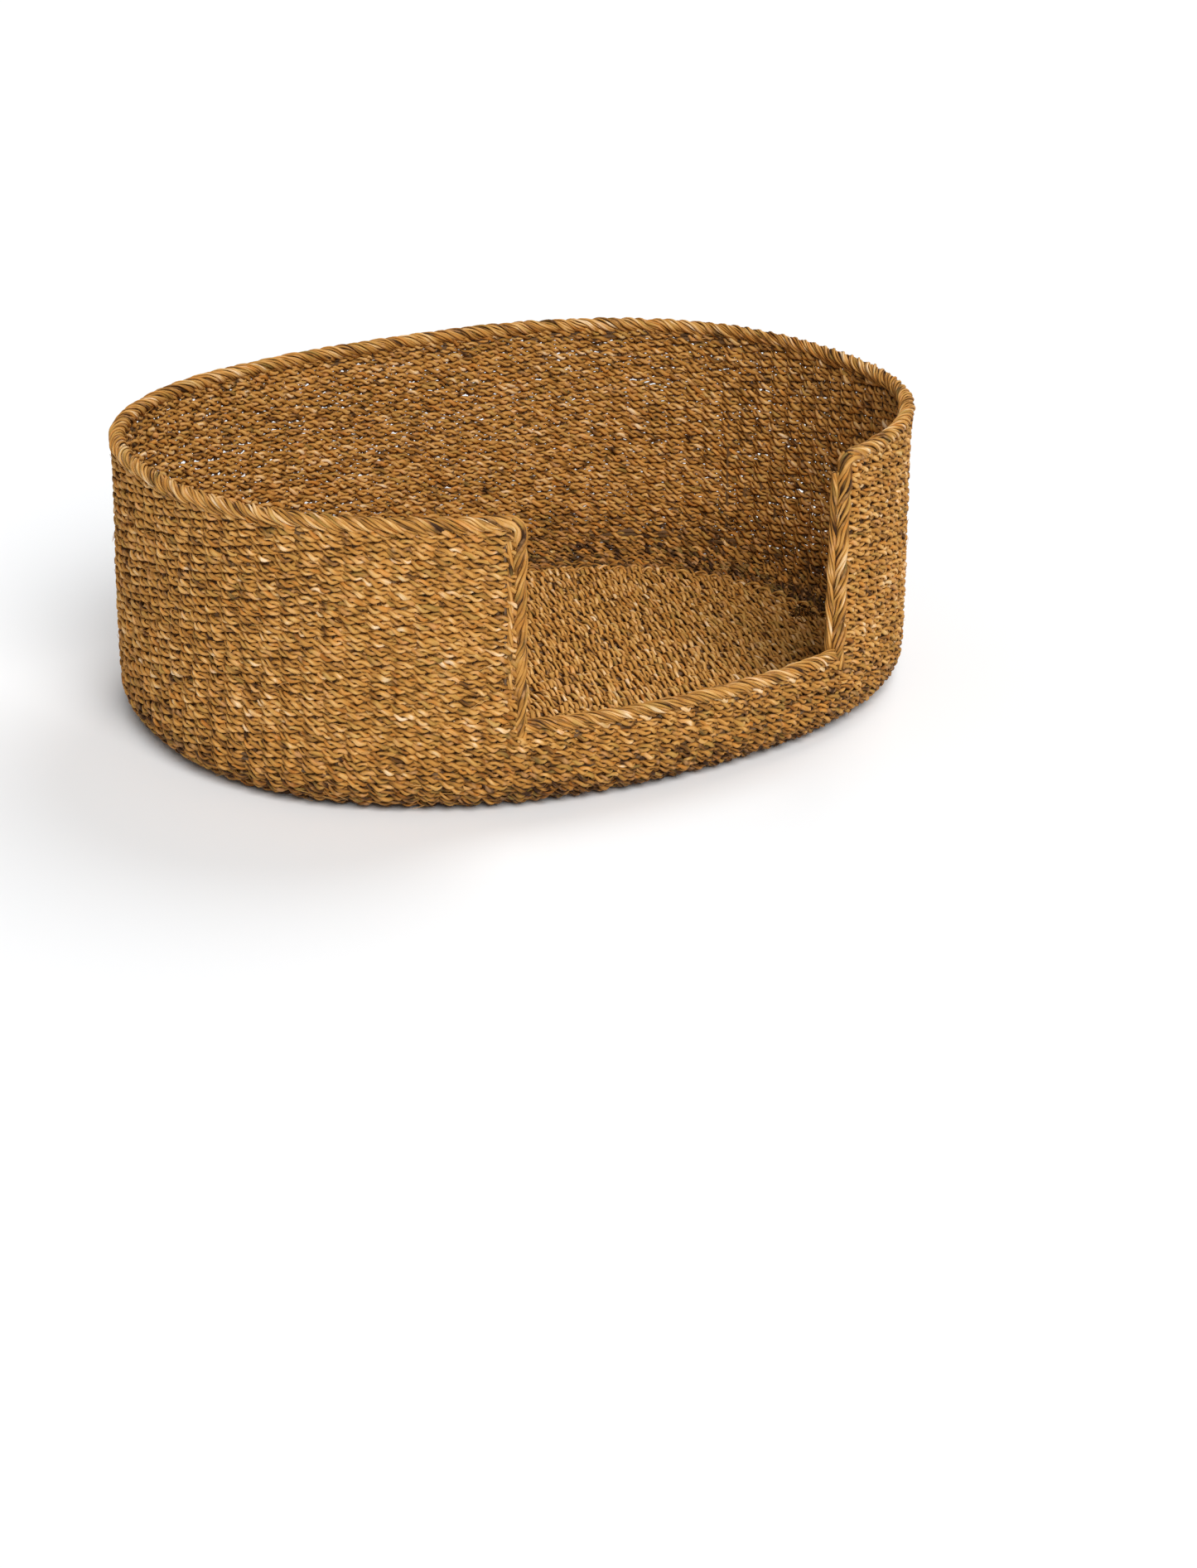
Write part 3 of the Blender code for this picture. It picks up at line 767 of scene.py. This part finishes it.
SEAGRASS_STOPS = (
    (0.00, (0.042, 0.017, 0.006)),
    (0.18, (0.200, 0.084, 0.017)),
    (0.38, (0.410, 0.183, 0.035)),
    (0.58, (0.545, 0.268, 0.061)),
    (0.78, (0.690, 0.396, 0.134)),
    (1.00, (0.840, 0.610, 0.370)),
)
WIRE_STOPS = ((0.3, (0.090, 0.045, 0.016)), (0.8, (0.150, 0.078, 0.028)))
# Painted shade: the stakes' and warp's colour, far deeper than their straw, for the gaps they show in.
SHADED_CORD_STOPS = ((0.3, (0.08, 0.036, 0.011)), (0.7, (0.20, 0.100, 0.032)))
STUDIO_STOPS = ((0.3, (0.90, 0.91, 0.92)), (0.7, (0.92, 0.93, 0.94)))

# Noise in the seagrass: scale along the strand, scale across it, detail.
FINE_NOISE = (70, 750, 3)
COARSE_NOISE = (12, 160, 2)
FINE_TONE = 0.55         # how far each noise moves the tone
COARSE_TONE = 0.45

# Its tinted patches: colour, noise scale along the strand, shift, level they rise from, share.
TINTS = (
    ((0.62, 0.215, 0.028), 40, 5.0, 0.54, 0.45),
    ((0.66, 0.35, 0.145), 90, 11.0, 0.55, 0.55),
    ((0.40, 0.26, 0.060), 30, 23.0, 0.54, 0.50),
)
PATCH_ACROSS = 90
PATCH_DETAIL = 2
PATCH_STEEPNESS = 6.0
ROUGHNESS_LEAST = 0.52
ROUGHNESS_RANGE = 0.25


def new_material(name):
    material = bpy.data.materials.new(name)
    material.use_nodes = True
    tree = material.node_tree
    return material, tree, tree.nodes["Principled BSDF"]


def maths(tree, operation, first, second):
    node = tree.nodes.new("ShaderNodeMath")
    node.operation = operation
    for socket, value in zip(node.inputs, (first, second)):
        if isinstance(value, (int, float)):
            socket.default_value = value
        else:
            tree.links.new(value, socket)
    return node.outputs[0]


def attribute(tree, name, output):
    node = tree.nodes.new("ShaderNodeAttribute")
    node.attribute_name = name
    return node.outputs[output]


def strand_noise(tree, along, across, detail, shift=0.0):
    """Noise drawn out along the strand, as its fibres are."""
    mapping = tree.nodes.new("ShaderNodeMapping")
    mapping.inputs["Location"].default_value = (shift, shift, shift)
    mapping.inputs["Scale"].default_value = (along, across, across)
    tree.links.new(attribute(tree, "fibre", "Vector"), mapping.inputs["Vector"])
    noise = tree.nodes.new("ShaderNodeTexNoise")
    noise.inputs["Scale"].default_value = 1.0
    noise.inputs["Detail"].default_value = detail
    tree.links.new(mapping.outputs[0], noise.inputs["Vector"])
    return noise.outputs["Fac"]


def ramp(tree, value, stops):
    node = tree.nodes.new("ShaderNodeValToRGB")
    while len(node.color_ramp.elements) < len(stops):
        node.color_ramp.elements.new(0.5)
    for element, (position, colour) in zip(node.color_ramp.elements, stops):
        element.position = position
        element.color = (*colour, 1.0)
    tree.links.new(value, node.inputs[0])
    return node.outputs[0]


def tinted(tree, colour, tint, factor):
    node = tree.nodes.new("ShaderNodeMix")
    node.data_type = "RGBA"
    tree.links.new(factor, node.inputs["Factor"])
    tree.links.new(colour, node.inputs["A"])
    node.inputs["B"].default_value = (*tint, 1.0)
    return node.outputs["Result"]


def patches(tree, along, shift, level, share):
    """Where a noise drawn out along the strand rises over a level, up to a share."""
    noise = strand_noise(tree, along, PATCH_ACROSS, PATCH_DETAIL, shift)
    rise = maths(tree, "MULTIPLY", maths(tree, "SUBTRACT", noise, level), PATCH_STEEPNESS)
    rise.node.use_clamp = True
    return maths(tree, "MULTIPLY", rise, share)


def moved(tree, value, noise, amount):
    """A value moved up and down by a noise."""
    return maths(tree, "ADD", value, maths(tree, "MULTIPLY", maths(tree, "SUBTRACT", noise, 0.5), amount))


def seagrass(name, lighter=0.0):
    material, tree, shader = new_material(name)
    fine = strand_noise(tree, *FINE_NOISE)
    coarse = strand_noise(tree, *COARSE_NOISE)
    # The tone read here already carries painted shade as well as the straw's own tone.
    value = maths(tree, "ADD", attribute(tree, "tone", "Fac"), lighter)
    value = moved(tree, value, fine, FINE_TONE)
    value = moved(tree, value, coarse, COARSE_TONE)
    colour = ramp(tree, value, SEAGRASS_STOPS)
    for tint, *patch in TINTS:
        colour = tinted(tree, colour, tint, patches(tree, *patch))
    tree.links.new(colour, shader.inputs["Base Color"])
    roughness = maths(tree, "ADD", maths(tree, "MULTIPLY", fine, ROUGHNESS_RANGE), ROUGHNESS_LEAST)
    tree.links.new(roughness, shader.inputs["Roughness"])
    shader.inputs["Specular IOR Level"].default_value = 0.15
    bump = tree.nodes.new("ShaderNodeBump")
    bump.inputs["Distance"].default_value = 0.0006
    bump.inputs["Strength"].default_value = 0.6
    tree.links.new(fine, bump.inputs["Height"])
    tree.links.new(bump.outputs[0], shader.inputs["Normal"])
    return material


def mottled(name, scale, stops, roughness, detail=2):
    """A plain material whose colour drifts with a noise."""
    material, tree, shader = new_material(name)
    noise = tree.nodes.new("ShaderNodeTexNoise")
    noise.inputs["Scale"].default_value = scale
    noise.inputs["Detail"].default_value = detail
    tree.links.new(ramp(tree, noise.outputs["Fac"], stops), shader.inputs["Base Color"])
    shader.inputs["Roughness"].default_value = roughness
    return material, shader


def lacquered_wire():
    return mottled("lacquered_wire", scale=300, stops=WIRE_STOPS, roughness=0.45)[0]


def shaded_hidden_cord():
    """Stakes and warp, which show only in the gaps of the weave; their colour is painted shade, far deeper
    than the straw, so the gaps look dark.
    """
    return mottled("stake_cord", scale=400, stops=SHADED_CORD_STOPS, roughness=0.7, detail=3)[0]


def studio_white():
    material, shader = mottled("studio_white", scale=3, stops=STUDIO_STOPS, roughness=0.9)
    shader.inputs["Specular IOR Level"].default_value = 0.0
    return material


def dress_cad_nodes():
    """Better materials for the pieces that keep their CAD shape."""
    wire, cord = lacquered_wire(), shaded_hidden_cord()
    for name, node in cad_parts.items():
        if name.startswith("frame_"):
            node.data.materials[0] = wire
        else:
            node.data.materials[0] = cord


# ---- stage ----------------------------------------------------------------------------------------

# The view, from the front left and above; angles in degrees.
VIEW_AZIMUTH = -31.52
VIEW_ELEVATION = 21.06
VIEW_TARGET = (0, 0.0214, 0)
VIEW_DISTANCE = 3.0985
LENS = 70.30
SENSOR_WIDTH = 36
LENS_SHIFT = (0.0554, -0.0700)
FARTHEST_SEEN = 100

# Lights: direction towards it, spread in degrees, strength.
KEY_LIGHT = ((-0.20, -0.74, 0.72), 38, 2.85)
BACK_LIGHT = ((0.60, 0.28, 0.75), 34, 1.02)
LIGHT_DISTANCE = 3
WORLD_STRENGTH = 0.26
STUDIO_HALF = 20.0


def make_camera():
    azimuth, elevation = math.radians(VIEW_AZIMUTH), math.radians(VIEW_ELEVATION)
    back = Vector((math.sin(azimuth) * math.cos(elevation), -math.cos(azimuth) * math.cos(elevation),
                   math.sin(elevation)))
    data = bpy.data.cameras.new("camera")
    data.lens = LENS
    data.sensor_width = SENSOR_WIDTH
    data.shift_x, data.shift_y = LENS_SHIFT
    data.clip_end = FARTHEST_SEEN
    camera = bpy.data.objects.new("camera", data)
    camera.location = Vector(VIEW_TARGET) + back * VIEW_DISTANCE
    camera.rotation_mode = "QUATERNION"
    camera.rotation_quaternion = (-back).to_track_quat("-Z", "Y")
    bpy.context.scene.collection.objects.link(camera)
    bpy.context.scene.camera = camera


def soft_light(name, direction, spread, strength):
    """A broad, distant studio light."""
    data = bpy.data.lights.new(name, "SUN")
    data.angle = math.radians(spread)
    data.energy = strength
    light = bpy.data.objects.new(name, data)
    towards = Vector(direction).normalized()
    light.location = towards * LIGHT_DISTANCE
    light.rotation_mode = "QUATERNION"
    light.rotation_quaternion = (-towards).to_track_quat("-Z", "Y")
    bpy.context.scene.collection.objects.link(light)


def make_lights():
    world = bpy.data.worlds.new("studio")
    bpy.context.scene.world = world
    world.use_nodes = True
    background = world.node_tree.nodes["Background"]
    background.inputs["Color"].default_value = (1, 1, 1, 1)
    background.inputs["Strength"].default_value = WORLD_STRENGTH
    soft_light("key", *KEY_LIGHT)
    soft_light("back", *BACK_LIGHT)
    bpy.context.scene.view_settings.view_transform = "Standard"


def make_studio_floor():
    mesh = bpy.data.meshes.new("studio_floor")
    low, high = -STUDIO_HALF, STUDIO_HALF
    corners = [(low, low, 0), (high, low, 0), (high, high, 0), (low, high, 0)]
    mesh.from_pydata(corners, [], [(0, 1, 2, 3)])
    mesh.materials.append(studio_white())
    floor = bpy.data.objects.new("studio_floor", mesh)
    bpy.context.scene.collection.objects.link(floor)


def main():
    make_camera()
    make_lights()
    make_studio_floor()
    wall_material = seagrass("seagrass_wall")
    border_material = seagrass("seagrass_border", lighter=-0.055)
    # Painted shade: the entrance ropes' copy is toned deeper to offset the key light, which falls on them
    # more fully.
    jamb_shaded_material = seagrass("seagrass_jamb_painted_shade", lighter=-0.12)
    floor_material = seagrass("seagrass_floor", lighter=0.02)
    make_wall(wall_material)
    make_borders(border_material, jamb_shaded_material)
    make_floor(floor_material)
    make_floor_edge(floor_material)
    dress_cad_nodes()


main()
